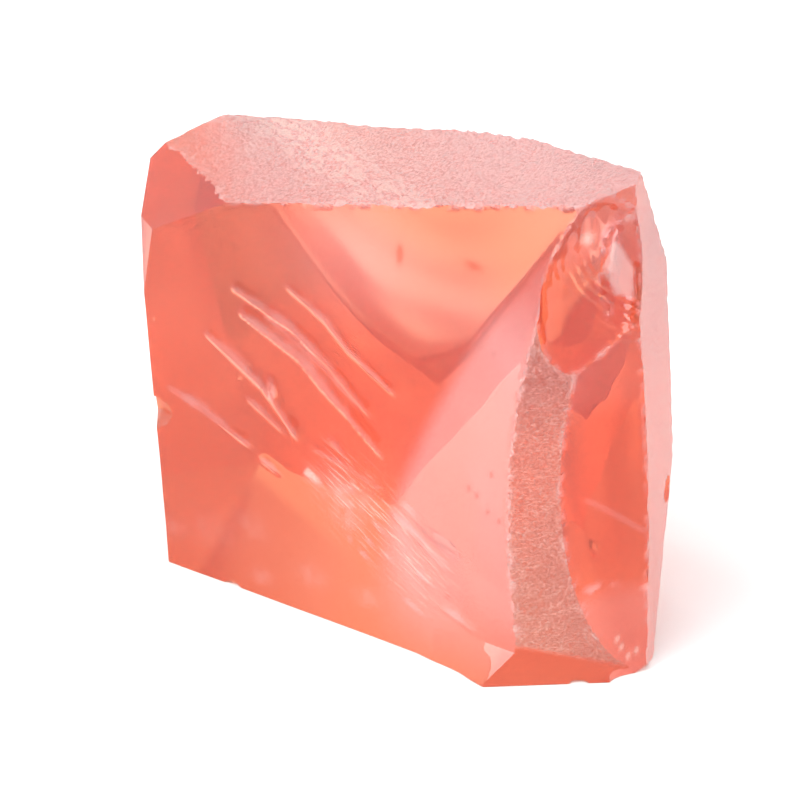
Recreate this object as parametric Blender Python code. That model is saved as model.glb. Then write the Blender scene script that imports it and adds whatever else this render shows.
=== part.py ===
"""A rough piece of gem beryl: one broken and sawn crystal block, resting on its sawn base.

The block is cut from a box by flat faces, each given by the direction that it faces and a point
on it. Curved fracture faces, the conchoidal recess, the scars and the chips are then cut away.
"""

import math

import bmesh
import bpy
from mathutils import Matrix, Vector

MM = 0.001

# Block before cutting: size and centre, in mm. The base of the box is the resting face.
BLOCK_SIZE = (56.0, 60.0, 44.0)
BLOCK_CENTRE = (-6.0, 24.0, 22.0)

# Flat faces. azimuth: where the face looks, 0 to the front, 90 to the right, 180 to the back.
# tilt: how far its normal rises above level. point: a point on the face, in mm.
FLAT_FACES = {
    "top": dict(azimuth=-85, tilt=72, point=(-19.2, 21.7, 28.5)),
    "right": dict(azimuth=75, tilt=3, point=(11.8, 4.9, 0.0)),
    "right_back_upper": dict(azimuth=105, tilt=3.4, point=(13.0, 13.4, 19.0)),
    "right_back_lower": dict(azimuth=93, tilt=-9, point=(11.9, 5.5, 0.2)),
    "right_back": dict(azimuth=125, tilt=0, point=(12.0, 16.5, 17.0)),
    "crown_back": dict(azimuth=131, tilt=33, point=(1.6, 19.0, 35.0)),
    "back": dict(azimuth=144, tilt=17, point=(1.3, 19.1, 35.0)),
    "left_back": dict(azimuth=205, tilt=0, point=(-20.0, 36.5, 28.0)),
    "left": dict(azimuth=-95, tilt=-6, point=(-23.6, 20.0, 0.0)),
    "left_bevel": dict(azimuth=-72, tilt=9, point=(-24.9, 25.2, 24.0)),
    "top_left_bevel": dict(azimuth=-76, tilt=51, point=(-19.2, 21.7, 28.5)),
    "corner_facet": dict(azimuth=28, tilt=5, point=(8.0, 4.1, 36.8)),
    "foot_corner": dict(azimuth=51, tilt=-38, point=(9.15, 1.2, 0.0)),
}

# Curved faces, each a sheet over a plane. span: how far the sheet reaches left, right, down, up.
FRONT = dict(azimuth=-36.5, tilt=7, point=(-13.1, 12.3, 0.0), span=(-20, 28, -5, 41), step=0.75)
STRIP = dict(azimuth=8, tilt=2, point=(4.0, 2.0, 0.0), span=(-12, 14, -6, 42), step=1.6)
STEP_SCAR = dict(azimuth=139.5, tilt=2, point=(1.0, 18.7, 35.0), span=(-16, 38, -30, 10), step=1.0)

# Front face: ridges left by the fracture, as (from, to, height), across and up the face, in mm.
RIDGES = (
    ((-11.1, 18.2), (-2.1, 12.3), 0.40),
    ((-8.8, 22.3), (5.9, 14.3), 0.50),
    ((-4.2, 23.8), (5.8, 18.3), 0.35),
    ((-11.3, 11.9), (-6.5, 10.3), 0.35),
    ((6.6, 9.6), (12.1, 6.9), 0.40),
)
RIDGE_WIDTH = 1.1
FLARE_GROWTH = 0.0145
FLARE_START = 3.5
FLARE_LIMIT = 2.6
DISH_DEPTH = 0.35
LEDGE_REACH = 1.9
LEDGE_HEIGHT = 2.3
SKIRT_REACH = 0.75
SKIRT_HEIGHT = 7.0

# Scoops cut by ellipsoids over the strip's plane: centre across and up, half sizes, lean, depth.
SCOOPS = {
    "recess_lower": dict(at=(7.5, 15.3), half=(6.6, 15.2), lean=0, depth=1.9),
    "recess_upper": dict(at=(3.5, 30.3), half=(4.3, 6.9), lean=14, depth=2.5),
    "recess_chip": dict(at=(5.2, 30.6), half=(2.5, 5.2), lean=4, depth=3.0),
}

# Lower rim of the scar on the back, across and down from the top edge, in mm.
SCAR_RIM = ((-16, 4), (-8.4, -5), (-5.9, -10), (-0.8, -15.7), (4.6, -18.7), (9.2, -17),
            (18.6, -10.3), (26, -4), (38, 4))
SCAR_WALL_SLOPE = 1.6

# Chips broken from the edges: centre and radius, in mm.
CHIPS = (
    ((-14.6, 17.6, 30.9), 1.3), ((-10.9, 15.0, 32.0), 1.1), ((-3.6, 9.9, 34.0), 1.2),
    ((2.0, 5.9, 35.4), 1.0), ((-25.2, 22.3, 11.0), 1.5), ((-25.8, 22.6, 18.2), 1.1),
    ((-19.2, 15.4, -0.9), 1.3), ((6.4, 0.3, -0.5), 1.2), ((13.6, 12.8, 30.6), 1.5),
    ((13.9, 11.0, 10.5), 1.3), ((-11.0, 41.6, 8.0), 1.9), ((4.2, 30.2, -0.6), 2.2),
    ((-22.4, 38.6, 19.5), 1.6),
)

# Finish
COLOUR = (0.93, 0.42, 0.34, 1.0)
ROUGHNESS = 0.12
IOR = 1.58


def face_frame(azimuth, tilt, point, **_):
    """Matrix whose X runs across the face to the right, Y up it and Z out of it."""
    turn, rise = math.radians(azimuth), math.radians(tilt)
    across = Vector((math.cos(turn), math.sin(turn), 0.0))
    out = Vector((math.sin(turn) * math.cos(rise), -math.cos(turn) * math.cos(rise), math.sin(rise)))
    up = out.cross(across)
    frame = Matrix((across, up, out)).transposed().to_4x4()
    frame.translation = Vector(point)
    return frame


def smooth(x):
    x = min(max(x, 0.0), 1.0)
    return x * x * (3.0 - 2.0 * x)


def soft_ramp(x, width):
    """0 below zero and x above it, with a rounded corner of the given width."""
    return 0.5 * (x + math.sqrt(x * x + width * width))


def ledge(height):
    """1 at the base, falling to 0 at the given share of the ledge's height."""
    return min(max(1.0 - height, 0.0), 1.0)


def ridge(x, y, start, end, height):
    """A low ridge along a line, with a rounded section and fading ends."""
    run = Vector(end) - Vector(start)
    away = Vector((x, y)) - Vector(start)
    along = away.dot(run) / run.length
    off = (away - run * (along / run.length)).length
    ends = smooth((along + 1.0) / 2.0) * smooth((run.length + 1.0 - along) / 2.0)
    return height * ends * math.exp(-((off / RIDGE_WIDTH) ** 2))


def front_height(x, y):
    """The front fracture: a shallow dish that flares outwards past a slanting crease."""
    crease = 5.2 + 0.02 * y + 0.0115 * y * y
    slope = FLARE_GROWTH * max(y - FLARE_START, 0.0)
    flare = slope * soft_ramp(x - crease, 0.3 + 2.2 * smooth((26.0 - y) / 20.0))
    dish = DISH_DEPTH * math.exp(-(((x - 2.0) / 12.0) ** 2) - ((y - 16.0) / 14.0) ** 2)
    skirt = SKIRT_REACH * math.exp(-max(y, 0.0) / SKIRT_HEIGHT) * (1.0 - smooth((x - 11.0) / 4.0))
    foot = LEDGE_REACH * smooth((x - 10.0) / 7.5) * ledge(y / LEDGE_HEIGHT)
    ridges = sum(ridge(x, y, *line) for line in RIDGES)
    return min(flare, FLARE_LIMIT) - dish + skirt + foot + ridges


def strip_height(x, y):
    """The sawn strip: flat, with a ledge at its foot that narrows to the right."""
    reach = 1.0 + 0.067 * x
    rise = max(2.0 - 0.28 * max(x, -1.7), 0.35)
    return reach * ledge(y / rise)


def rim_height(x):
    """The scar's rim, read between its stations."""
    for (x0, y0), (x1, y1) in zip(SCAR_RIM, SCAR_RIM[1:]):
        if x <= x1:
            return y0 + (y1 - y0) * (x - x0) / (x1 - x0)
    return SCAR_RIM[-1][1]


def scar_height(x, y):
    """The scar at the top of the back: near flat, with a wall rising outwards past its rim."""
    wall = SCAR_WALL_SLOPE * soft_ramp(rim_height(x) - y, 0.55)
    return min(wall, 16.0) + 0.2 * math.sin(0.4 * x)


def clear_scene():
    for obj in list(bpy.data.objects):
        bpy.data.objects.remove(obj, do_unlink=True)


def new_collection(name, hidden=False):
    collection = bpy.data.collections.new(name)
    bpy.context.scene.collection.children.link(collection)
    collection.hide_render = hidden
    return collection


def add_object(name, bm, collection):
    """A mesh object from a shape drawn in mm."""
    bm.transform(Matrix.Scale(MM, 4))
    mesh = bpy.data.meshes.new(name)
    bm.to_mesh(mesh)
    bm.free()
    obj = bpy.data.objects.new(name, mesh)
    collection.objects.link(obj)
    return obj


def make_block():
    """The box with every flat face sawn from it."""
    bm = bmesh.new()
    place = Matrix.Translation(Vector(BLOCK_CENTRE)) @ Matrix.Diagonal((*BLOCK_SIZE, 1.0))
    bmesh.ops.create_cube(bm, size=1.0, matrix=place)
    for face in FLAT_FACES.values():
        frame = face_frame(**face)
        cut = bmesh.ops.bisect_plane(
            bm, geom=bm.verts[:] + bm.edges[:] + bm.faces[:], dist=1e-4,
            plane_co=frame.translation, plane_no=frame.col[2].to_3d(), clear_outer=True)
        rim = [item for item in cut["geom_cut"] if isinstance(item, bmesh.types.BMEdge)]
        bmesh.ops.holes_fill(bm, edges=rim, sides=0)
    bmesh.ops.recalc_face_normals(bm, faces=bm.faces)
    return bm


def sheet_cutter(name, face, height, collection):
    """A slab whose inner side follows height(x, y) over the face's plane, and whose outer is flat."""
    left, right, low, high = face["span"]
    nx = round((right - left) / face["step"])
    ny = round((high - low) / face["step"])
    bm = bmesh.new()
    bmesh.ops.create_grid(bm, x_segments=nx, y_segments=ny, size=0.5)
    for vert in bm.verts:
        x = (left + right) / 2 + vert.co.x * (right - left)
        y = (low + high) / 2 + vert.co.y * (high - low)
        vert.co = Vector((x, y, height(x, y)))
    outer = bmesh.ops.extrude_face_region(bm, geom=bm.faces[:])["geom"]
    for vert in (item for item in outer if isinstance(item, bmesh.types.BMVert)):
        vert.co.z = 40.0
    bmesh.ops.recalc_face_normals(bm, faces=bm.faces)
    bm.transform(face_frame(**face))
    return hide(add_object(name, bm, collection))


def scoop_cutter(name, at, half, lean, depth, collection):
    """An ellipsoid that dips below the strip's plane by depth, over an outline of the half sizes."""
    bm = bmesh.new()
    bmesh.ops.create_uvsphere(bm, u_segments=40, v_segments=28, radius=1.0)
    dip = 0.45
    full = 1.0 / math.sqrt(1.0 - dip * dip)
    size = Matrix.Diagonal((half[0] * full, half[1] * full, depth / (1.0 - dip), 1.0))
    lift = Matrix.Translation((at[0], at[1], depth * dip / (1.0 - dip)))
    turn = Matrix.Rotation(math.radians(-lean), 4, "Z")
    bm.transform(face_frame(**STRIP) @ lift @ turn @ size)
    return hide(add_object(name, bm, collection))


def chip_cutter(name, centre, radius, turn, collection):
    """A small flattened ball that breaks a chip from an edge."""
    bm = bmesh.new()
    bmesh.ops.create_icosphere(bm, subdivisions=2, radius=1.0)
    size = Matrix.Diagonal((radius * 1.5, radius, radius * 0.9, 1.0))
    place = Matrix.Translation(Vector(centre)) @ Matrix.Rotation(turn, 4, "Z") @ size
    bm.transform(place)
    return hide(add_object(name, bm, collection))


def hide(obj):
    obj.hide_render = True
    obj.display_type = "WIRE"
    return obj


def subtract(body, cutter):
    cut = body.modifiers.new(cutter.name, "BOOLEAN")
    cut.operation = "DIFFERENCE"
    cut.solver = "EXACT"
    cut.object = cutter


def crystal_material():
    material = bpy.data.materials.new("crystal")
    material.use_nodes = True
    shader = material.node_tree.nodes["Principled BSDF"]
    shader.inputs["Base Color"].default_value = COLOUR
    shader.inputs["Roughness"].default_value = ROUGHNESS
    shader.inputs["Metallic"].default_value = 0.0
    shader.inputs["Transmission Weight"].default_value = 1.0
    shader.inputs["IOR"].default_value = IOR
    return material


def centre_on_base(body, cutters):
    """Moves the crystal and its cutters so that the middle of its base box is the origin."""
    bpy.context.view_layer.update()
    shape = body.evaluated_get(bpy.context.evaluated_depsgraph_get()).to_mesh()
    low = Vector([min(v.co[i] for v in shape.vertices) for i in range(3)])
    high = Vector([max(v.co[i] for v in shape.vertices) for i in range(3)])
    shift = Vector((-(low.x + high.x) / 2, -(low.y + high.y) / 2, -low.z))
    for obj in (body, *cutters):
        obj.location = shift


def main():
    clear_scene()
    specimen = new_collection("morganite_specimen")
    tools = new_collection("cutters", hidden=True)
    body = add_object("crystal", make_block(), specimen)
    body.data.materials.append(crystal_material())
    cutters = [
        sheet_cutter("cut_front", FRONT, front_height, tools),
        sheet_cutter("cut_strip", STRIP, strip_height, tools),
        sheet_cutter("cut_step_scar", STEP_SCAR, scar_height, tools),
    ]
    cutters += [scoop_cutter("cut_" + name, **scoop, collection=tools) for name, scoop in SCOOPS.items()]
    cutters += [
        chip_cutter(f"cut_chip_{i:02d}", centre, radius, 0.7 * i, tools)
        for i, (centre, radius) in enumerate(CHIPS)
    ]
    for cutter in cutters:
        subtract(body, cutter)
    centre_on_base(body, cutters)


main()
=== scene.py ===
import math
import bmesh
import bpy
import numpy as np
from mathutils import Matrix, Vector


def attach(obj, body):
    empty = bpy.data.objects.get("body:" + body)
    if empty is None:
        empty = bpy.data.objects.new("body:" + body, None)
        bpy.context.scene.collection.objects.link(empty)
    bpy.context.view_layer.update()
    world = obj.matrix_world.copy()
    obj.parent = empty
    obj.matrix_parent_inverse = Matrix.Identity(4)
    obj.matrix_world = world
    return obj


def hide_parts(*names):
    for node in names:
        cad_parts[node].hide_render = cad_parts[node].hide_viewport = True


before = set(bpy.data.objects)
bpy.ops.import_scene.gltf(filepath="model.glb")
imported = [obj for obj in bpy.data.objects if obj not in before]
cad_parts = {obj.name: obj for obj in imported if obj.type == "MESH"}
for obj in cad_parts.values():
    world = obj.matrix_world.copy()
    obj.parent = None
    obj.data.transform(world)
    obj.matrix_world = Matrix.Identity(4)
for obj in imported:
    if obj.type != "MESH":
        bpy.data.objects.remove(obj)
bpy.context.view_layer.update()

print("frame loaded")

mm = 0.001
far = 9.0  # in mm, further off than any edge or rim that matters

# The crystal is a block cut by faces. Each face has the direction that it looks in, a point on it in mm,
# and its finish. azimuth: 0 looks to the front, 90 to the right, 180 to the back. tilt: how far its normal
# rises. step: spacing of its grid in mm. lumps: height of its swells in mm. span: reach across and up.
# depth: how far out the lid of its cutting sheet lies.
# frost: 0 clear, 1 matt. veil: white haze. pale, warm: tints. stainAndShade: a darker tint, for dark marks
# and for painted shade. wear: share of chips at its edges.
crystal = {
    "baseMiddle": (-6.0671, 20.8373, 0.0),  # middle of the base box in these mm
    "blockSize": (56.0, 60.0, 45.0),
    "blockCentre": (-6.0, 24.0, 21.5),
    "skin": 0.35,  # what the rough block keeps outside each face, for its relief to cut away
    "spare": 2.0, "scoopSpare": 1.5,  # how far a cutting sheet reaches past its face or its scoop
    "slabDepth": 12.0,  # how far a cutting sheet's lid lies out, where the face has no depth of its own
    "sharpAngle": 24.0,
    "wearReach": 0.22, "wearDepth": 0.24, "wearSize": 0.60,  # chips along the edges, in mm
}
flatFaces = {
    "top": dict(azimuth=-85, tilt=72, point=(-19.2, 21.7, 28.5), step=0.20),
    "right": dict(
        azimuth=75, tilt=3, point=(11.8, 4.9, 0.0), step=0.20, lumps=0.05,
        frost=0.60, veil=0.79, pale=0.4, wear=0.5),
    "rightBackUpper": dict(
        azimuth=105, tilt=3.4, point=(13.0, 13.4, 19.0), step=0.4, lumps=0.05, frost=0.3, veil=0.3),
    "rightBackLower": dict(
        azimuth=93, tilt=-9, point=(11.9, 5.5, 0.2), step=0.4, lumps=0.05, frost=0.3, veil=0.3),
    "rightBack": dict(
        azimuth=125, tilt=0, point=(12.0, 16.5, 17.0), step=0.5, lumps=0.03, frost=0.15, veil=0.05),
    "crownBack": dict(
        azimuth=131, tilt=33, point=(1.6, 19.0, 35.0), step=0.4, lumps=0.06, frost=0.4, veil=0.15),
    "back": dict(
        azimuth=144, tilt=17, point=(1.3, 19.1, 35.0), step=0.45, lumps=0.03, frost=0.15, veil=0.05),
    "leftBack": dict(
        azimuth=205, tilt=0, point=(-20.0, 36.5, 28.0), step=0.5, lumps=0.03, frost=0.15, veil=0.05),
    "left": dict(
        azimuth=-95, tilt=-6, point=(-23.6, 20.0, 0.0), step=0.4, lumps=0.04, frost=0.5, veil=0.4),
    "leftBevel": dict(
        azimuth=-72, tilt=9, point=(-24.9, 25.2, 24.0), step=0.35, lumps=0.05,
        frost=0.1, stainAndShade=0.1, warm=0.6),
    "topLeftBevel": dict(
        azimuth=-76, tilt=51, point=(-19.2, 21.7, 28.5), step=0.3, lumps=0.06,
        frost=0.04, stainAndShade=0.1, warm=0.9),
    "cornerFacet": dict(
        azimuth=28, tilt=5, point=(8.0, 4.1, 36.8), step=0.20, lumps=0.02,
        frost=0.3, veil=0.28, warm=0.7, wear=0.5),
    "footCorner": dict(
        azimuth=51, tilt=-38, point=(9.15, 1.2, 0.0), step=0.3, lumps=0.04, frost=0.3, veil=0.2),
}
frontFace = dict(
    azimuth=-36.5, tilt=7, point=(-13.1, 12.3, 0.0), span=(-19.5, 25, -3, 40.5), step=0.155, depth=30.0)
stripFace = dict(azimuth=8, tilt=2, point=(4.0, 2.0, 0.0), span=(-7, 11, -2, 39), step=0.15)
scarFace = dict(
    azimuth=139.5, tilt=2, point=(1.0, 18.7, 35.0), span=(-16, 38, -30, 8), step=0.45, depth=25.0,
    frost=0.30, veil=0.15)
baseFace = dict(azimuth=0, tilt=-90, point=(-6.0, 20.0, 0.0), span=(-31, 31, -37, 37), step=1.0, frost=0.30)


def smooth(x):  # 0 below zero, 1 above one, an S curve between
    x = np.clip(x, 0.0, 1.0)
    return x * x * (3.0 - 2.0 * x)


def softRamp(x, width):  # 0 below zero and x above it, with a corner rounded over the width
    return 0.5 * (x + np.sqrt(x * x + width * width))


def bell(x, width):  # 1 at zero, falling away on both sides
    return np.exp(-((x / width) ** 2))


def patches(s, t, places):  # a sum of soft ovals, each given by across, up, half width, half height, strength
    return sum(strength * bell(s - a, wide) * bell(t - b, tall) for a, b, wide, tall, strength in places)


def lattice(i, j, seed):  # one number from 0 to 1 for each grid corner, the broken part of a large sine
    return np.modf(np.abs(np.sin(i * 12.9898 + j * 78.233 + seed * 37.719)) * 43758.5453)[0]


def noise(s, t, size, seed):  # smoothed lattice numbers from -1 to 1, with lumps of the given size
    i, j = np.floor(s / size), np.floor(t / size)
    a, b = smooth(s / size - i), smooth(t / size - j)
    low = lattice(i, j, seed) * (1 - a) + lattice(i + 1, j, seed) * a
    high = lattice(i, j + 1, seed) * (1 - a) + lattice(i + 1, j + 1, seed) * a
    return 2.0 * (low * (1 - b) + high * b) - 1.0


def axesOf(face):  # across, up and out of a face, as unit vectors
    turn, rise = math.radians(face["azimuth"]), math.radians(face["tilt"])
    across = np.array([math.cos(turn), math.sin(turn), 0.0])
    out = np.array([math.sin(turn) * math.cos(rise), -math.cos(turn) * math.cos(rise), math.sin(rise)])
    return across, np.cross(out, across), out


def onFace(face, points):  # how far each point lies across, up and out of a face's plane
    away = np.asarray(points) - np.array(face["point"])
    return [away @ axis for axis in axesOf(face)]


# Relief of each face: a height in mm over its plane, from the place across (s) and up (t).
fracture = {
    "flareGrowth": 0.0145, "flareStart": 3.5, "flareLimit": 2.6,
    "dish": 0.35, "skirt": 0.75, "skirtHeight": 7.0, "footReach": 1.8, "footHeight": 2.3,
    "wave": 0.015, "waveLength": 5.2, "waveFrom": (19.0, 38.0),
    "hackles": (  # points across and up, height, width of the lit side
        (((-11.1, 18.3), (-5.5, 15.5), (-2.1, 12.5)), 0.17, 0.42),
        (((-5.2, 16.7), (-4.4, 14.5)), 0.12, 0.32),
        (((-8.1, 20.7), (-2.4, 18.5), (-0.4, 17.0), (2.0, 15.6), (5.6, 13.3)), 0.20, 0.52),
        (((-8.9, 22.4), (-3.4, 20.7), (0.0, 18.9), (4.1, 16.1)), 0.16, 0.36),
        (((-5.9, 21.2), (-0.4, 18.6), (3.2, 16.4)), 0.06, 0.20),
        (((-4.1, 23.8), (-0.7, 22.2), (1.7, 20.4), (6.2, 18.3)), 0.11, 0.26),
        (((-14.1, 13.2), (-10.3, 12.2), (-6.1, 10.7)), 0.13, 0.38),
        (((-7.0, 14.4), (-3.2, 12.6)), 0.08, 0.22),
        (((-5.3, 10.1), (-3.2, 9.3)), 0.10, 0.22),
        (((-0.8, 12.2), (6.0, 10.9)), 0.06, 0.18),
        (((0.5, 13.4), (2.4, 12.3)), 0.07, 0.16),
        (((6.7, 9.6), (9.5, 8.4), (12.4, 6.9)), 0.10, 0.16),
        (((7.5, 10.6), (9.8, 9.8)), 0.08, 0.15),
        (((5.2, 8.4), (6.7, 7.5)), 0.10, 0.16),
        (((4.6, 7.0), (5.8, 6.3)), 0.09, 0.16),
        (((6.3, 6.4), (7.5, 5.8)), 0.09, 0.16),
        (((4.2, 5.9), (5.5, 5.2)), 0.09, 0.16),
        (((9.3, 5.9), (11.0, 5.1)), 0.08, 0.15),
        (((8.5, 3.5), (10.9, 2.6)), 0.07, 0.16),
        (((11.8, 3.9), (14.8, 2.6)), 0.12, 0.24),
        (((3.0, 6.7), (3.6, 6.0)), 0.08, 0.15),
    ),
    # hackleLit: strength of the painted highlight on each hackle's lit side
    "hackleSteep": 0.12, "hackleLit": 0.9,
    "blooms": (  # pale patches under the surface: across, up, size, strength
        (-4.0, 1.3, 0.5, 0.25), (5.3, 2.6, 0.6, 0.20), (0.3, 2.7, 0.8, 0.12), (-8.9, 3.5, 1.2, 0.10),
        (2.9, 7.8, 0.6, 0.25), (-5.6, 4.8, 1.0, 0.10), (-12.5, 2.6, 0.6, 0.15),
    ),
    "darkVeils": ((5.6, 28.9, 0.3, 0.9, 1.6), (11.9, 29.8, 1.0, 0.4, 1.0)),
    "clearings": ((11.0, 26.0, 7.0, 3.2, 0.25), (1.0, 27.5, 5.5, 4.0, 0.45)),
    "cloud": (2.6, 9.8, 2.2, 1.4, 0.35),
    "hairs": ((-1.5, 12.5), (14.0, 4.0)), "hairsWidth": 2.3, "hairsAlong": ((6.7, 9.6), (12.4, 6.9)),
    "fleck": ((-1.2, 10.4), (0.5, 9.7)), "fleckWidth": 0.26, "fleckWhite": 1.3,
    "specks": (
        (14.7, 24.2), (15.8, 15.6), (14.5, 13.5), (15.6, 12.6), (16.7, 12.3), (13.7, 13.8), (12.4, 4.9)),
    "speckSize": 0.22,
}


# Signed distance from a broken line, the length of it that lies behind, and its whole length, from the
# run of it that is nearest.
def besideLine(s, t, points):
    ends = np.array(points, float)
    runs = ends[1:] - ends[:-1]
    lengths = np.hypot(*runs.T)
    before = np.concatenate([[0.0], np.cumsum(lengths)[:-1]])
    ds = s[..., None] - ends[:-1, 0]
    dt = t[..., None] - ends[:-1, 1]
    along = (ds * runs[:, 0] + dt * runs[:, 1]) / lengths
    side = (runs[:, 0] * dt - runs[:, 1] * ds) / lengths
    over = along - np.clip(along, 0.0, lengths)
    nearest = np.argmin(np.hypot(side, over), axis=-1)[..., None]
    side, along = (np.take_along_axis(values, nearest, -1)[..., 0] for values in (side, before + along))
    return side, along, lengths.sum()


def hackles(s, t):  # steps, steep on their lower side and sinking away on their lit upper side
    height, lit = 0.0 * s, 0.0 * s
    for points, rise, width in fracture["hackles"]:
        side, along, length = besideLine(s, t, points)
        ends = smooth((along + 0.3) / 0.8) * smooth((length + 0.3 - along) / 1.2)
        ends = ends * (1.0 + 0.35 * noise(along, 0.0 * s, 1.1, length))
        steep, sinking = bell(side, fracture["hackleSteep"]), bell(side, 2.0 * width)
        height += rise * ends * np.where(side < 0, steep, sinking)
        swelling = 0.75 * bell(along / length - 0.35, 0.3) + 0.2 * noise(along, 0.0 * s, 0.7, rise)
        broad = width * (0.45 + swelling)
        # lit: where a painted highlight goes, along the lit upper side of each step
        lit = np.maximum(lit, ends * bell((side - 0.6 * broad) / broad, 0.75))
    return height, lit


def creaseAt(t):  # where the front face starts to flare, a parabola up the face
    return 5.2 + 0.02 * t + 0.0115 * t * t


# The broad face: a dish that flares past a slanting crease, a skirt that dies away upwards, a foot that
# juts out at the lower right, and shallow waves round a far point.
def frontShape(s, t):
    slope = fracture["flareGrowth"] * np.maximum(t - fracture["flareStart"], 0.0)
    flare = slope * softRamp(s - creaseAt(t), 0.3 + 2.2 * smooth((26.0 - t) / 20.0))
    dish = fracture["dish"] * bell(s - 2.0, 12.0) * bell(t - 16.0, 14.0)
    skirt = fracture["skirt"] * np.exp(-np.maximum(t, 0.0) / fracture["skirtHeight"])
    skirt = skirt * (1 - smooth((s - 11) / 4))
    foot = fracture["footReach"] * np.clip(1 - t / fracture["footHeight"], 0.0, 1.0)
    foot = foot * smooth((s - 10.0) / 7.5)
    reach = np.hypot(s - fracture["waveFrom"][0], t - fracture["waveFrom"][1])
    wave = fracture["wave"] * np.sin(2 * math.pi * reach / fracture["waveLength"]) * smooth((reach - 8) / 14)
    return np.minimum(flare, fracture["flareLimit"]) - dish + skirt + foot + wave - 0.02


def frontRelief(s, t):  # the broad face with its hackles
    return frontShape(s, t) + hackles(s, t)[0]


def ledgeTop(s):  # how high the ledge at the foot of the strip reaches, less to the right
    return np.maximum(2.0 - 0.28 * np.maximum(s, -1.7), 0.35)


def stripRelief(s, t):  # a ledge that slopes out to the foot, under fine saw lines
    rise = ledgeTop(s)
    ledge = (0.9 + 0.067 * s) * np.clip(1.0 - t / rise, 0.0, 1.0)
    drift = 0.12 * noise(s, t, 2.3, 3)
    lines = 0.004 * np.sin(2 * math.pi * (t + drift) / 0.66) * smooth((t - rise) / 0.5)
    return ledge + lines


def stripMasks(s, t):  # sawn lines above the ledge, clear and darker on it
    sawn = smooth((t - ledgeTop(s)) / 0.3)
    return dict(
        # on the ledge the darker tint is painted shade
        sawn=sawn, frost=0.05 + 0.45 * sawn, veil=0.26 * sawn, stainAndShade=0.9 * (1.0 - sawn),
        wear=smooth((t - 2.0) / 2.0))


scar = {
    "rimAcross": (-16, -8.4, -5.9, -0.8, 4.6, 9.2, 18.6, 26, 38),
    "rimUp": (4, -5, -10, -15.7, -18.7, -17, -10.3, -4, 4),
    "wallSlope": 1.6, "wallHeight": 16.0, "rippleHeight": 0.03, "rippleLength": 3.6,
}


def scarRelief(s, t):  # near flat, with a wall that rises outwards past the rim, and ripples round a point
    wall = scar["wallSlope"] * softRamp(np.interp(s, scar["rimAcross"], scar["rimUp"]) - t, 0.55)
    ripples = scar["rippleHeight"] * np.sin(2 * math.pi * np.hypot(s - 3, t - 4) / scar["rippleLength"])
    return np.minimum(wall, scar["wallHeight"]) + 0.2 * np.sin(0.4 * s) + ripples


topFinish = {
    "bandFrom": (-10.3, 4.6), "bandTo": (9.0, 11.8), "bandWidth": 2.0,
    "lump": 0.05, "grain": 0.035, "bandLump": 0.10,
}


def topBand(s, t):  # a broad streak across the top, 1 on its middle line
    side = besideLine(s, t, (topFinish["bandFrom"], topFinish["bandTo"]))[0]
    ragged = side + 0.8 * noise(s, t, 2.2, 5)
    return bell(ragged, topFinish["bandWidth"])


def topRelief(s, t):  # ground flat, with soft lumps, fine grain and a rougher band
    lump = topFinish["lump"] * noise(s, t, 3.4, 1)
    grain = topFinish["grain"] * noise(s, t, 0.62, 2)
    band = topFinish["bandLump"] * topBand(s, t) * np.abs(noise(s, t, 0.75, 4))
    return lump + grain - band - topFinish["lump"]


def swells(face):  # soft lumps of the face's own height, always below its plane
    def relief(s, t):
        seed = face["azimuth"] + face["tilt"]
        broad = noise(s, t, 6.5, seed) + 0.4 * noise(s, t, 2.6, seed + 1)
        return face["lumps"] * (broad - 1.4)
    return relief


# Scoops broken from the strip: centre across and up, half sizes, lean in degrees, depth, ripples.
scoops = {
    "recessLower": dict(at=(7.5, 15.3), half=(6.6, 15.2), lean=0, depth=1.9, ripple=0.01),
    "recessUpper": dict(at=(3.5, 30.3), half=(4.3, 6.9), lean=14, depth=2.5, ripple=0.008),
    "recessChip": dict(at=(5.2, 30.6), half=(2.5, 5.2), lean=4, depth=3.0, ripple=0.008),
}
recess = {
    "arcsFrom": (7.4, 32.4), "arcsRadius": 5.0, "arcsSpread": 2.2, "arcsPitch": 0.62, "arcsHeight": 0.075,
    "lump": 0.16, "lumpSize": 1.5, "ridgePitch": 1.15, "ridgeHeight": 0.07,
    "dip": 0.45,  # share of the ellipsoid's depth that stays outside the strip
    "rings": 26.0,  # how far the rings' wave runs from the middle to the rim, in radians
    "paintedHighlight": ((5.0, 32.7), (6.35, 30.3), (6.4, 28.2), (5.2, 28.4), (4.2, 30.4)),
    "tongue": ((3.9, 33.4), (5.0, 35.4), (5.7, 33.3), (4.5, 30.8)),
    "paintedGlint": (3.0, 33.0), "line": ((2.9, 13.4), (7.3, 10.3)), "row": ((2.8, 6.6), (7.6, 5.6)),
    "nicks": ((5.5, 1.9), (6.0, 1.2), (6.6, 1.5), (5.2, 2.5)),
    # painted shade up the recess: heights, and its share at each
    "stainAndShadeUp": (6.2, 9.0, 19.5, 23.0, 29.0), "stainAndShade": (0.0, 0.6, 0.6, 0.25, 0.2),
}


def arcs(s, t):  # ripples round a point beside the recess, strongest on one ring
    reach = np.hypot(s - recess["arcsFrom"][0], t - recess["arcsFrom"][1])
    ripple = np.sin(2 * math.pi * (reach + 0.15 * noise(s, t, 1.4, 8)) / recess["arcsPitch"])
    below = smooth((32.5 - t) / 2.5) * smooth((t - 17.0) / 5.0)
    return recess["arcsHeight"] * ripple * below * bell(reach - recess["arcsRadius"], recess["arcsSpread"])


def rubble(s, t):  # soft lumps and upright ridges in the upper recess
    high = smooth((t - 22.0) / 4.0)
    ridges = np.sin(2 * math.pi * (s + 0.12 * t + 0.2 * noise(s, t, 1.7, 13)) / recess["ridgePitch"])
    lumps = recess["lump"] * noise(s, t, recess["lumpSize"], 14)
    return high * lumps + recess["ridgeHeight"] * ridges * smooth((t - 31.0) / 2.5) * smooth((36.0 - t) / 1.2)


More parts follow.
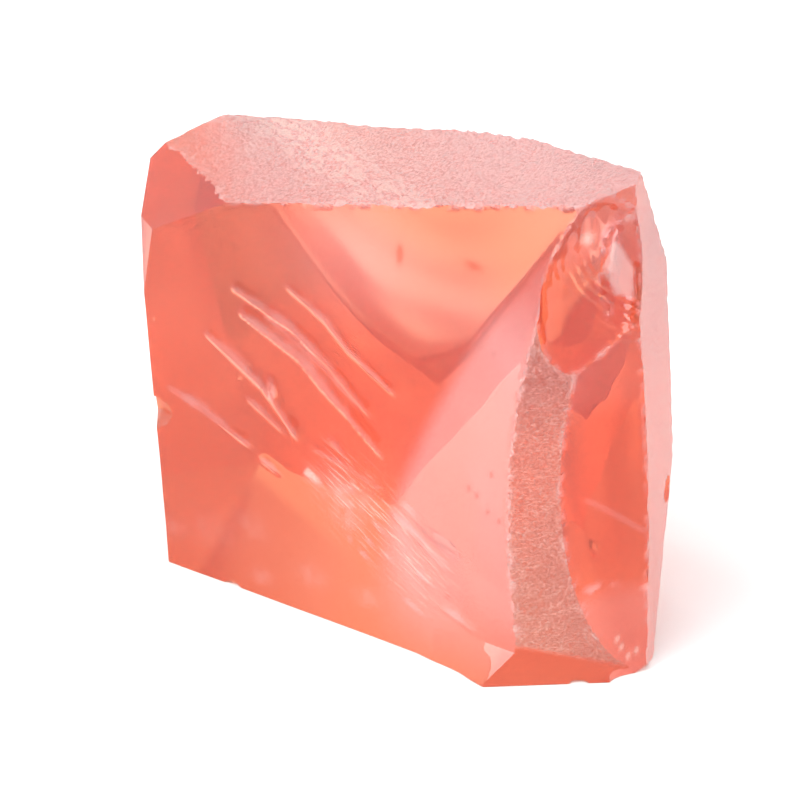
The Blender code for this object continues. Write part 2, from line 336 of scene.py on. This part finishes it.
def inPatch(s, t, corners):  # 1 inside a patch whose corners run clockwise, fading over its rim
    inside = np.full(s.shape, far)
    for (s0, t0), (s1, t1) in zip(corners, corners[1:] + corners[:1]):
        away = ((s1 - s0) * (t - t0) - (t1 - t0) * (s - s0)) / math.hypot(s1 - s0, t1 - t0)
        inside = np.minimum(inside, -away)
    return smooth((inside + 0.1 + 0.12 * noise(s, t, 0.5, 9)) / 0.25)


def scoopRelief(scoop):  # the lower side of a leaning ellipsoid, with rings round its middle
    dip = recess["dip"]
    full = 1.0 / math.sqrt(1.0 - dip * dip)
    lean = math.radians(scoop["lean"])

    def relief(s, t):
        ds, dt = s - scoop["at"][0], t - scoop["at"][1]
        x = (ds * math.cos(lean) - dt * math.sin(lean)) / (scoop["half"][0] * full)
        y = (ds * math.sin(lean) + dt * math.cos(lean)) / (scoop["half"][1] * full)
        radius = np.hypot(x, y)
        bowl = np.sqrt(np.maximum(1.0 - radius * radius, 0.0))
        rings = scoop["ripple"] * np.sin(radius * recess["rings"]) + arcs(s, t) + rubble(s, t)
        lift = scoop["depth"] * dip / (1.0 - dip)
        return lift - scoop["depth"] / (1.0 - dip) * bowl + rings
    return relief


chips = {
    "spots": (  # centre in mm and radius
        ((-14.6, 17.5, 31.1), 1.1), ((-10.9, 14.9, 32.2), 0.9), ((-3.6, 9.8, 34.2), 1.0),
        ((2.0, 5.8, 35.6), 0.8), ((-25.2, 22.3, 11.0), 1.4), ((-25.8, 22.6, 18.2), 1.1),
        ((-19.2, 15.4, -0.9), 1.3), ((6.4, 0.3, -0.5), 1.2), ((13.6, 12.8, 30.6), 1.5),
        ((13.9, 11.0, 10.5), 1.3), ((-11.0, 41.6, 8.0), 1.9), ((4.2, 30.2, -0.6), 2.2),
        ((-22.4, 38.6, 19.5), 1.6),
    ),
    "around": 20, "rows": 11,  # sides of each ball and rows of points between its poles
    "stretch": (1.5, 1.0, 0.9), "rough": 0.16, "turn": 0.7,  # radians from one ball to the next
    "frost": 0.25, "veil": 0.125,
}


# Finish of each face of the mesh, kept as face attributes that the material reads.
maskNames = ("frost", "veil", "pale", "warm", "white", "sawn", "glitter", "stainAndShade", "hair")


# The broad face: a painted pale sheen past the crease, painted highlights on the lit side of the hackles
# beside a field of hairlines, a dark wedge at the left foot, small dark veils, and soft clouds.
def frontMasks(s, t):
    paintedSheen = smooth((s - creaseAt(t) + 0.6) / (2.2 + 5.0 * smooth((10.0 - t) / 9.0)))
    paintedSheen = paintedSheen * smooth((t + 1.5) / 8.5) * (1.0 - 0.5 * smooth((t - 24.0) / 6.0))
    blotch = 0.7 + 0.5 * noise(s, t, 0.6, 11)
    stainAndShade = blotch * patches(s, t, fracture["darkVeils"])
    stainAndShade += 0.9 * smooth((2.4 - t) / 0.4) * smooth((s - 16.6) / 1.0)
    stainAndShade += sum(1.5 * bell(np.hypot(s - a, t - b), fracture["speckSize"]) for a, b in fracture["specks"])
    wedge = smooth((9.8 - 0.42 * (s + 6.0) - t) / 1.5) * smooth((8.0 - s) / 14.0)
    stainAndShade += 0.9 * wedge * smooth((s + 10.3 - 0.45 * t) / 1.2)
    side, along, length = besideLine(s, t, fracture["hairs"])
    hair = bell(side, fracture["hairsWidth"]) * smooth(along / 3.0) * smooth((length - along) / 4.0)
    side, along, length = besideLine(s, t, fracture["fleck"])
    fleck = fracture["fleckWhite"] * bell(side, fracture["fleckWidth"])
    fleck = fleck * smooth((along + 0.2) / 0.3) * smooth((length - along) / 1.2)
    cloud = patches(s, t, [fracture["cloud"]])
    blooms = [(a, b, 1.6 * size, size, strength) for a, b, size, strength in fracture["blooms"]]
    cloud += patches(s, t, blooms)
    cloud = cloud * (1.0 + 0.7 * noise(s, t, 0.6, 12))
    lit = fracture["hackleLit"] * hackles(s, t)[1]
    clear = patches(s, t, fracture["clearings"])
    # paintedSheen and lit are painted light: a paler tint and a whiter coat for the sheen past the crease and
    # the highlights on the hackles
    return dict(
        veil=0.44 * paintedSheen + 0.32 * lit + fleck + cloud + 0.35 * clear,
        pale=0.8 * paintedSheen + 0.5 * cloud + clear + 0.7 * lit, white=fleck + 0.1 * lit,
        stainAndShade=stainAndShade, hair=hair, frost=0.15 * hair + 0.5 * fleck,
        wear=smooth((t - 3.0) / 5.0) * smooth((s + 12.0) / 5.0))


def topMasks(s, t):  # whiter along the band and to the right, warmer towards the left corner
    band = topBand(s, t)
    left, right = smooth((4.0 - t) / 7.0), smooth((t - 12.0) / 10.0)
    # glitter: painted glints along the band
    return dict(
        frost=0.62 + 0.1 * band, glitter=band, veil=0.76 - 0.42 * left + 0.14 * right,
        pale=0.35 * (1.0 - left) + 0.25 * right + 0.4 * band,
        wear=0.35 + 0.55 * smooth((t - 0.5) / 3.0) * smooth((s + 2.0) / 4.0))


# The recess: a painted highlight in a pale patch, a tongue and a painted white glint near the top, painted
# shade below with one slanting line, and lighter at the foot under a row of flecks and a few nicks.
def recessMasks(s, t):
    paintedHighlight, tongue = inPatch(s, t, recess["paintedHighlight"]), inPatch(s, t, recess["tongue"])
    paintedGlint = bell(np.hypot(s - recess["paintedGlint"][0], t - recess["paintedGlint"][1]), 0.5)
    side, along, length = besideLine(s, t, recess["line"])
    line = bell(side, 0.16) * smooth((along + 0.3) / 0.6) * smooth((length + 0.3 - along) / 0.6)
    row = bell(besideLine(s, t, recess["row"])[0], 0.4) * smooth(2.0 * noise(s, t, 0.55, 15))
    row = row * smooth((s - 2.4) / 1.0)
    nicks = sum(bell(np.hypot(s - a, (t - b) / 1.8), 0.13) for a, b in recess["nicks"])
    # painted shade, darker through the middle of the recess and none at its foot
    stainAndShade = np.interp(t, recess["stainAndShadeUp"], recess["stainAndShade"])
    low = smooth((7.0 - t) / 2.0)
    pale = 0.5 * tongue + 0.5 * line + 0.5 * low + 0.7 * paintedHighlight + 0.25 * smooth((t - 30.0) / 2.0)
    haze = 0.1 * low + 0.1 * smooth((t - 19.0) / 3.0)
    # paintedHighlight and paintedGlint are painted light: paler, whiter and with more coat
    return dict(
        veil=paintedHighlight + 0.9 * paintedGlint + 0.2 * line + 0.5 * row + nicks + haze, pale=pale + row,
        white=0.4 * paintedHighlight + paintedGlint + 1.2 * nicks, stainAndShade=stainAndShade * (1.0 - paintedHighlight),
        warm=0.3 * (1.0 - low) * (1.0 - paintedHighlight), wear=smooth((t - 2.5) / 2.0))


def addMesh(name, points, quads, masks):  # a mesh object from points in mm, with its masks
    data = bpy.data.meshes.new(name)
    data.from_pydata(((points - np.array(crystal["baseMiddle"])) * mm).tolist(), [], quads)
    for mask in maskNames:
        values = np.broadcast_to(masks.get(mask, 0.0), len(data.polygons)).astype(np.float32)
        data.attributes.new(mask, "FLOAT", "FACE").data.foreach_set("value", values)
    obj = bpy.data.objects.new(name, data)
    bpy.context.scene.collection.objects.link(obj)
    return obj


def faceOut(obj):  # turns every face of a closed mesh outwards
    bm = bmesh.new()
    bm.from_mesh(obj.data)
    bmesh.ops.recalc_face_normals(bm, faces=bm.faces)
    bm.to_mesh(obj.data)
    bm.free()
    return obj


def wearOn(points, s, t, others):  # how worn a place is: ragged patches near another sheet's surface
    nearest = np.full(s.shape, far)
    for face, relief, _ in others:
        a, b, height = onFace(face, points)
        nearest = np.minimum(nearest, np.abs(relief(a, b) - height))
    ragged = 0.7 * noise(s, t, crystal["wearSize"], 21) + 0.5 * noise(s, t, 0.4 * crystal["wearSize"], 22)
    return bell(nearest, crystal["wearReach"]) * smooth(0.35 + 1.1 * ragged)


# A slab over a face, which cuts it: the inner side is the relief on a grid, lowered where it is worn, and
# the outer side a flat lid. Its masks are read at the grid's corners.
def slab(name, face, relief, masksOf, others):
    left, right, low, high = face["span"]
    across, up, out = axesOf(face)
    s, t = np.meshgrid(
        np.linspace(left, right, round((right - left) / face["step"]) + 1),
        np.linspace(low, high, round((high - low) / face["step"]) + 1), indexing="ij")
    plane = np.array(face["point"]) + s[..., None] * across + t[..., None] * up
    height = relief(s, t)
    marks = {mask: face.get(mask, 0.0) for mask in (*maskNames, "wear")}
    marks.update(masksOf(s, t) if masksOf else {})
    worn = marks.pop("wear") * wearOn(plane + height[..., None] * out, s, t, others)
    marks["veil"] = marks["veil"] + finish["wornVeil"] * worn
    marks["pale"] = marks["pale"] + finish["wornPale"] * worn
    marks["frost"] = np.maximum(marks["frost"], finish["wornFrost"] * worn)
    inner = (plane + (height - crystal["wearDepth"] * worn)[..., None] * out).reshape(-1, 3)
    number = np.arange(s.size).reshape(s.shape)
    quads = np.stack([number[:-1, :-1], number[:-1, 1:], number[1:, 1:], number[1:, :-1]], -1).reshape(-1, 4)
    rim = np.concatenate([number[:-1, 0], number[-1, :-1], number[:0:-1, -1], number[0, :0:-1]])
    outer = plane.reshape(-1, 3)[rim] + face.get("depth", crystal["slabDepth"]) * out
    lid = s.size + np.arange(len(rim))
    walls = np.stack([rim, np.roll(rim, -1), np.roll(lid, -1), lid], -1)
    rest = np.zeros(len(walls) + 1)
    masks = {}
    for mask, value in marks.items():
        value = np.broadcast_to(value, s.shape)
        masks[mask] = np.append((value[:-1, :-1] + value[1:, 1:]).reshape(-1) / 2, rest)
    polygons = quads.tolist() + walls.tolist() + [lid.tolist()]
    return faceOut(addMesh(name, np.concatenate([inner, outer]), polygons, masks))


def carve(body, cutter):  # takes the cutter from the body and throws the cutter away
    cut = body.modifiers.new("cut", "BOOLEAN")
    cut.operation = "DIFFERENCE"
    cut.solver = "MANIFOLD"
    cut.object = cutter
    carved = bpy.data.meshes.new_from_object(body.evaluated_get(bpy.context.evaluated_depsgraph_get()))
    body.modifiers.clear()
    body.data = carved
    bpy.data.objects.remove(cutter)


def sawnBlock(skin):  # the box with every flat face sawn off, each the skin's thickness too far out
    bm = bmesh.new()
    bmesh.ops.create_cube(bm, size=1.0)
    bmesh.ops.scale(bm, vec=crystal["blockSize"], verts=bm.verts)
    bmesh.ops.translate(bm, vec=crystal["blockCentre"], verts=bm.verts)
    for face in flatFaces.values():
        out = Vector(axesOf(face)[2])
        cut = bmesh.ops.bisect_plane(
            bm, geom=bm.verts[:] + bm.edges[:] + bm.faces[:], dist=1e-4,
            plane_co=Vector(face["point"]) + skin * out, plane_no=out, clear_outer=True)
        rim = [item for item in cut["geom_cut"] if isinstance(item, bmesh.types.BMEdge)]
        bmesh.ops.holes_fill(bm, edges=rim, sides=0)
    bmesh.ops.recalc_face_normals(bm, faces=bm.faces)
    points = np.array([vert.co[:] for vert in bm.verts])
    polygons = [[vert.index for vert in face.verts] for face in bm.faces]
    bm.free()
    return points, polygons


def spanOf(face, points):  # how far the block's corners on this face reach across and up it
    s, t, height = onFace(face, points)
    near = np.abs(height) < 0.01
    spare = crystal["spare"]
    return s[near].min() - spare, s[near].max() + spare, t[near].min() - spare, t[near].max() + spare


def chipBalls():  # stretched, rough balls, each a grid of longitude and latitude closed at its poles
    around, rows = chips["around"], chips["rows"]
    turn = np.linspace(0, 2 * math.pi, around, endpoint=False)
    rise = np.linspace(-math.pi / 2, math.pi / 2, rows + 2)[1:-1]
    ring = np.stack([np.outer(np.cos(rise), np.cos(turn)), np.outer(np.cos(rise), np.sin(turn)),
                     np.outer(np.sin(rise), np.ones(around))], -1).reshape(-1, 3)
    unit = np.concatenate([ring, [[0, 0, -1.0], [0, 0, 1.0]]])
    number = np.arange(around * rows).reshape(rows, around)
    beside = np.roll(number, -1, axis=1)
    quads = np.stack([number[:-1], beside[:-1], beside[1:], number[1:]], -1).reshape(-1, 4)
    low = np.stack([beside[0], number[0], np.full(around, len(ring))], -1)
    high = np.stack([number[-1], beside[-1], np.full(around, len(ring) + 1)], -1)
    points, polygons = [], []
    for i, (centre, radius) in enumerate(chips["spots"]):
        angle = chips["turn"] * i
        turned = np.array(
            [[math.cos(angle), math.sin(angle), 0], [-math.sin(angle), math.cos(angle), 0], [0, 0, 1]])
        bumps = noise(unit[:, 0] * 2.0 + i, unit[:, 1] * 2.0 + unit[:, 2] * 3.1, 0.5, i)[:, None]
        ball = unit * (1.0 + chips["rough"] * bumps) * (radius * np.array(chips["stretch"]))
        points.append(ball @ turned + np.array(centre))
        start = i * len(unit)
        polygons += (quads + start).tolist() + (low + start).tolist() + (high + start).tolist()
    masks = dict(frost=chips["frost"], veil=chips["veil"])
    return faceOut(addMesh("chipCutter", np.concatenate(points), polygons, masks))


def flat(s, t):  # no relief
    return 0.0 * s


def makeCrystal():  # the rough block, carved by one dense sheet for each face and scoop, then by the chips
    corners = sawnBlock(0.0)[0]
    sheets = {}
    for name, face in flatFaces.items():
        face["span"] = spanOf(face, corners)
        sheets[name] = (face, topRelief, topMasks) if name == "top" else (face, swells(face), None)
    sheets["base"] = baseFace, flat, None
    sheets["front"] = frontFace, frontRelief, frontMasks
    sheets["strip"] = stripFace, stripRelief, stripMasks
    sheets["scar"] = scarFace, scarRelief, None
    for name, scoop in scoops.items():
        (s, t), (wide, tall) = scoop["at"], scoop["half"]
        spare = crystal["scoopSpare"]
        span = s - wide - spare, s + wide + spare, t - tall - spare, t + tall + spare
        sheets[name] = dict(stripFace, span=span), scoopRelief(scoop), recessMasks
    body = addMesh("crystalSurface", *sawnBlock(crystal["skin"]), {})
    for name, sheet in sheets.items():
        carve(body, slab(name, *sheet, [other for key, other in sheets.items() if key != name]))
    carve(body, chipBalls())
    body.data.polygons.foreach_set("use_smooth", np.ones(len(body.data.polygons), bool))
    body.data.set_sharp_from_angle(angle=math.radians(crystal["sharpAngle"]))
    return body


def addNode(tree, kind, inputs=None, **settings):  # a shader node with its settings and unlinked inputs
    node = tree.nodes.new(kind)
    for key, value in settings.items():
        setattr(node, key, value)
    for key, value in (inputs or {}).items():
        node.inputs[key].default_value = value
    return node


def newGroup(name, inputs, outputs):  # a node group with float inputs and outputs of the kinds given
    tree = bpy.data.node_groups.new(name, "ShaderNodeTree")
    for socket in inputs:
        tree.interface.new_socket(socket, in_out="INPUT", socket_type="NodeSocketFloat")
    for socket, kind in outputs.items():
        tree.interface.new_socket(socket, in_out="OUTPUT", socket_type=kind)
    return tree, addNode(tree, "NodeGroupInput"), addNode(tree, "NodeGroupOutput")


def math2(tree, operation, a, b=0.0, clamp=False):  # one sum, product or other step of sockets or numbers
    node = addNode(tree, "ShaderNodeMath", operation=operation, use_clamp=clamp)
    for socket, value in zip(node.inputs, (a, b)):
        if isinstance(value, (int, float)):
            socket.default_value = value
        else:
            tree.links.new(value, socket)
    return node.outputs[0]


def ramp(tree, value, low, high, outLow=0.0, outHigh=1.0):  # takes low to outLow and high to outHigh
    node = addNode(tree, "ShaderNodeMapRange", {
        "From Min": low, "From Max": high, "To Min": outLow, "To Max": outHigh})
    tree.links.new(value, node.inputs["Value"])
    return node.outputs["Result"]


def speck(tree, coords, size, detail=2.0):  # noise from 0 to 1 with lumps of the size in mm
    node = addNode(tree, "ShaderNodeTexNoise", {"Scale": 1000.0 / size, "Detail": detail})
    tree.links.new(coords, node.inputs["Vector"])
    return node.outputs["Fac"]


finish = {
    "clearRoughness": 0.02, "mattRoughness": 1.0, "grainSize": 0.18, "grainRoughness": 0.2,
    "veilVary": 0.65, "fleckWhite": 1.2, "grainDark": 0.42,
    "wornVeil": 0.7, "wornPale": 0.5, "wornFrost": 0.5,
    "fibreLong": 0.9, "fibreFine": 0.30,  # sizes of the streaks in mm, along and across
    "sawLong": 0.27, "sawFine": 0.12, "rowLong": 1.6, "rowFine": 0.40, "sawDark": 0.38, "sawWhite": 0.36,
    "hairLong": 2.2, "hairFine": 0.12, "hairWhite": 0.9, "lineVeil": 0.6, "sparkVeil": 0.4,
    "tint": (1.0, 0.35, 0.21, 1.0), "warmTint": (1.0, 0.31, 0.14, 1.0), "zoneSize": 14.0,
    "deepTint": (1.0, 0.17, 0.03, 1.0), "paleTint": (1.0, 0.56, 1.0, 1.0),
    "whiteTint": (1.0, 0.93, 0.95, 1.0), "stainAndShadeTint": (0.68, 0.10, 0.045, 1.0),
    "sawTint": (0.54, 0.27, 0.22, 1.0),
    "coatRoughness": 0.75, "coatIor": 4.0, "ior": 1.58,
    "absorb": (1.0, 14.0, 21.0),  # per metre, in red, green and blue
}


def placeAlong(tree, coords, direction, size):  # how far along a direction, in units of the size in mm
    node = addNode(tree, "ShaderNodeVectorMath", operation="DOT_PRODUCT")
    tree.links.new(coords, node.inputs[0])
    node.inputs[1].default_value = Vector(direction) * (1000.0 / size)
    return node.outputs["Value"]


def streaks(tree, coords, direction, normal, long, fine):  # noise drawn out along a direction on a face
    along = Vector(direction).normalized()
    across = along.cross(Vector(normal))
    place = addNode(tree, "ShaderNodeCombineXYZ")
    tree.links.new(placeAlong(tree, coords, along, long), place.inputs["X"])
    tree.links.new(placeAlong(tree, coords, across, fine), place.inputs["Y"])
    tree.links.new(placeAlong(tree, coords, normal, long), place.inputs["Z"])
    node = addNode(tree, "ShaderNodeTexNoise", {"Scale": 1.0, "Detail": 1.0})
    tree.links.new(place.outputs["Vector"], node.inputs["Vector"])
    return node.outputs["Fac"]


def directionOn(face, start, end):  # the direction between two places on a face, and the face's normal
    across, up, out = axesOf(face)
    return across * (end[0] - start[0]) + up * (end[1] - start[1]), out


# Roughness, white veil, white flecks, painted glints and dark grains of ground or broken stone. The noise
# lies round 0.5, so a ramp from a little above it takes the highest spots alone, and one from below it the
# lowest.
def frostGrain():
    tree, given, out = newGroup("frostGrain", ("Frost", "Veil", "Glitter"), {
        name: "NodeSocketFloat" for name in ("Roughness", "Veil", "White", "Dark")})
    coords = addNode(tree, "ShaderNodeTexCoord").outputs["Object"]
    fine = speck(tree, coords, finish["grainSize"], 1.0)
    band = directionOn(flatFaces["top"], topFinish["bandFrom"], topFinish["bandTo"])
    fibres = streaks(tree, coords, *band, finish["fibreLong"], finish["fibreFine"])
    frost, veil, glitter = (given.outputs[name] for name in ("Frost", "Veil", "Glitter"))
    level = ramp(tree, frost, 0.0, 1.0, finish["clearRoughness"], finish["mattRoughness"])
    vary = math2(tree, "MULTIPLY", math2(tree, "SUBTRACT", fine, 0.5), finish["grainRoughness"])
    rough = math2(tree, "ADD", level, math2(tree, "MULTIPLY", vary, frost), clamp=True)
    ground = math2(tree, "MULTIPLY", frost, veil)
    patch = ramp(tree, fine, 0.36, 0.64, -finish["veilVary"], finish["veilVary"])
    flecks = math2(tree, "MULTIPLY", ground, ramp(tree, fine, 0.54, 0.66, 0.0, finish["fleckWhite"]))
    # sparks: painted glints, white along the fibres where glitter is set
    sparks = math2(tree, "MULTIPLY", glitter, ramp(tree, fibres, 0.47, 0.57))
    white = math2(tree, "ADD", flecks, sparks, clamp=True)
    veil = math2(tree, "ADD", veil, math2(tree, "MULTIPLY", ground, patch))
    veil = math2(tree, "ADD", veil, math2(tree, "MULTIPLY", sparks, finish["sparkVeil"]), clamp=True)
    dark = math2(tree, "MULTIPLY", ground, ramp(tree, fine, 0.46, 0.34, 0.0, finish["grainDark"]))
    for name, value in (("Roughness", rough), ("Veil", veil), ("White", white), ("Dark", dark)):
        tree.links.new(value, out.inputs[name])
    return tree


def fineLines():  # white and dark share of the level saw lines on the strip and of the front's hairlines
    tree, given, out = newGroup("fineLines", ("Sawn", "Hair"), {
        name: "NodeSocketFloat" for name in ("White", "Dark")})
    coords = addNode(tree, "ShaderNodeTexCoord").outputs["Object"]
    level = directionOn(stripFace, (0, 0), (1, 0))
    saw = streaks(tree, coords, *level, finish["sawLong"], finish["sawFine"])
    rows = streaks(tree, coords, *level, finish["rowLong"], finish["rowFine"])
    along = directionOn(frontFace, *fracture["hairsAlong"])
    hair = streaks(tree, coords, *along, finish["hairLong"], finish["hairFine"])
    sawn = math2(tree, "MULTIPLY", given.outputs["Sawn"], ramp(tree, rows, 0.38, 0.62, 0.45, 1.55))
    sawWhite = math2(tree, "MULTIPLY", ramp(tree, saw, 0.47, 0.66, 0.0, finish["sawWhite"]), sawn)
    hairs = ramp(tree, hair, 0.58, 0.67, 0.0, finish["hairWhite"])
    hairWhite = math2(tree, "MULTIPLY", hairs, given.outputs["Hair"])
    sawDark = math2(tree, "MULTIPLY", ramp(tree, saw, 0.5, 0.34), given.outputs["Sawn"])
    tree.links.new(math2(tree, "ADD", sawWhite, hairWhite, clamp=True), out.inputs["White"])
    tree.links.new(sawDark, out.inputs["Dark"])
    return tree


def useGroup(tree, group, **links):  # places a node group and links its inputs by name
    node = addNode(tree, "ShaderNodeGroup", node_tree=group)
    for key, value in links.items():
        tree.links.new(value, node.inputs[key])
    return node.outputs


def mixColour(tree, amount, a, b):  # a where the amount is 0 and b where it is 1
    node = addNode(tree, "ShaderNodeMix", data_type="RGBA")
    for socket, value in zip((node.inputs[0], node.inputs[6], node.inputs[7]), (amount, a, b)):
        if isinstance(value, tuple):
            socket.default_value = value
        else:
            tree.links.new(value, socket)
    return node.outputs[2]


# See-through stone. Its tint passes from warm to cool by zones, then to each finish by its mask. The rough
# coat is the white veil, and the volume takes more green and blue the longer the way through.
def crystalMaterial():
    material = bpy.data.materials.new("pinkBeryl")
    material.use_nodes = True
    tree = material.node_tree
    shader = tree.nodes["Principled BSDF"]
    mask = {
        name: addNode(tree, "ShaderNodeAttribute", attribute_name=name).outputs["Fac"] for name in maskNames}
    grain = useGroup(tree, frostGrain(), Frost=mask["frost"], Veil=mask["veil"], Glitter=mask["glitter"])
    lines = useGroup(tree, fineLines(), Sawn=mask["sawn"], Hair=mask["hair"])
    coords = addNode(tree, "ShaderNodeTexCoord").outputs["Object"]
    zone = ramp(tree, speck(tree, coords, finish["zoneSize"], 1.0), 0.35, 0.65)
    colour = mixColour(tree, zone, finish["warmTint"], finish["tint"])
    colour = mixColour(tree, mask["sawn"], colour, finish["sawTint"])
    colour = mixColour(tree, mask["warm"], colour, finish["deepTint"])
    # pale: a paler tint for clouds and clear patches, and for painted sheen and painted highlights
    colour = mixColour(tree, mask["pale"], colour, finish["paleTint"])
    dark = math2(tree, "ADD", grain["Dark"], math2(tree, "MULTIPLY", lines["Dark"], finish["sawDark"]))
    # stainAndShade: dark marks and veils, with painted shade on the ledge and in the recess
    colour = mixColour(tree, math2(tree, "ADD", mask["stainAndShade"], dark, clamp=True), colour, finish["stainAndShadeTint"])
    # white: white flecks, nicks and lines, with painted highlights and painted glints
    white = math2(tree, "ADD", math2(tree, "ADD", grain["White"], lines["White"]), mask["white"], clamp=True)
    colour = mixColour(tree, white, colour, finish["whiteTint"])
    hazy = math2(tree, "MULTIPLY", lines["White"], finish["lineVeil"])
    veil = math2(tree, "ADD", grain["Veil"], hazy, clamp=True)
    tree.links.new(colour, shader.inputs["Base Color"])
    tree.links.new(grain["Roughness"], shader.inputs["Roughness"])
    tree.links.new(veil, shader.inputs["Coat Weight"])
    shader.inputs["Transmission Weight"].default_value = 1.0
    shader.inputs["IOR"].default_value = finish["ior"]
    shader.inputs["Coat Roughness"].default_value = finish["coatRoughness"]
    shader.inputs["Coat IOR"].default_value = finish["coatIor"]
    density = max(finish["absorb"])
    keep = [1.0 - value / density for value in finish["absorb"]]
    absorb = addNode(tree, "ShaderNodeVolumeAbsorption", {"Color": (*keep, 1.0), "Density": density})
    tree.links.new(absorb.outputs["Volume"], tree.nodes["Material Output"].inputs["Volume"])
    return material


piece = makeCrystal()
piece.data.materials.clear()
piece.data.materials.append(crystalMaterial())
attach(piece, "root")
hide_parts("crystal")
triangles = sum(len(polygon.vertices) - 2 for polygon in piece.data.polygons)
print("crystal made:", len(piece.data.polygons), "faces,", triangles, "triangles")


studio = {
    "floorSize": 3.0, "floorDrop": 0.00005, "floorColour": (0.90, 0.90, 0.90, 1.0), "floorRoughness": 0.9,
    "skyStrength": 1.15, "lampPower": 2.0, "lampSize": 0.4, "lampPlace": (-0.25, -0.15, 0.5),
    "target": (-0.000333, -0.002837, 0.0141), "distance": 0.35, "azimuth": 0.0, "elevation": 27.0,
    "lens": 216.0, "sensor": 36.0, "bounces": 14,
}


def aim(obj, target):  # turns a lamp or a camera to look at a point
    obj.rotation_euler = (Vector(target) - obj.location).to_track_quat("-Z", "Y").to_euler()


def makeFloor():  # a wide pale square, a hair below the crystal so that the two never touch
    half = studio["floorSize"] / 2
    data = bpy.data.meshes.new("floor")
    corners = [(x * half, y * half, -studio["floorDrop"]) for x, y in ((-1, -1), (1, -1), (1, 1), (-1, 1))]
    data.from_pydata(corners, [], [(0, 1, 2, 3)])
    floor = bpy.data.objects.new("floor", data)
    bpy.context.scene.collection.objects.link(floor)
    material = bpy.data.materials.new("paleFloor")
    material.use_nodes = True
    material.node_tree.nodes["Principled BSDF"].inputs["Base Color"].default_value = studio["floorColour"]
    material.node_tree.nodes["Principled BSDF"].inputs["Roughness"].default_value = studio["floorRoughness"]
    data.materials.append(material)


def makeLights():  # an even white sky and one soft lamp from the upper left
    world = bpy.data.worlds.new("studio")
    bpy.context.scene.world = world
    world.use_nodes = True
    world.node_tree.nodes["Background"].inputs["Color"].default_value = (1.0, 1.0, 1.0, 1.0)
    world.node_tree.nodes["Background"].inputs["Strength"].default_value = studio["skyStrength"]
    lamp = bpy.data.lights.new("softLamp", "AREA")
    lamp.energy, lamp.size = studio["lampPower"], studio["lampSize"]
    holder = bpy.data.objects.new("softLamp", lamp)
    holder.location = studio["lampPlace"]
    bpy.context.scene.collection.objects.link(holder)
    aim(holder, studio["target"])


def makeCamera():  # looks at the target from the azimuth, elevation and distance
    camera = bpy.data.cameras.new("camera")
    camera.lens, camera.sensor_width, camera.clip_start = studio["lens"], studio["sensor"], 0.01
    holder = bpy.data.objects.new("camera", camera)
    turn, rise = math.radians(studio["azimuth"]), math.radians(studio["elevation"])
    away = Vector((math.sin(turn) * math.cos(rise), -math.cos(turn) * math.cos(rise), math.sin(rise)))
    holder.location = Vector(studio["target"]) + away * studio["distance"]
    bpy.context.scene.collection.objects.link(holder)
    aim(holder, studio["target"])
    bpy.context.scene.camera = holder


makeFloor()
makeLights()
makeCamera()
scene = bpy.context.scene
scene.view_settings.view_transform = "Standard"
scene.cycles.max_bounces = studio["bounces"]
scene.cycles.transmission_bounces = studio["bounces"]
scene.cycles.glossy_bounces = studio["bounces"]
scene.cycles.denoising_input_passes = "RGB"  # else the clear faces are denoised to a leathery pattern
print("studio made")
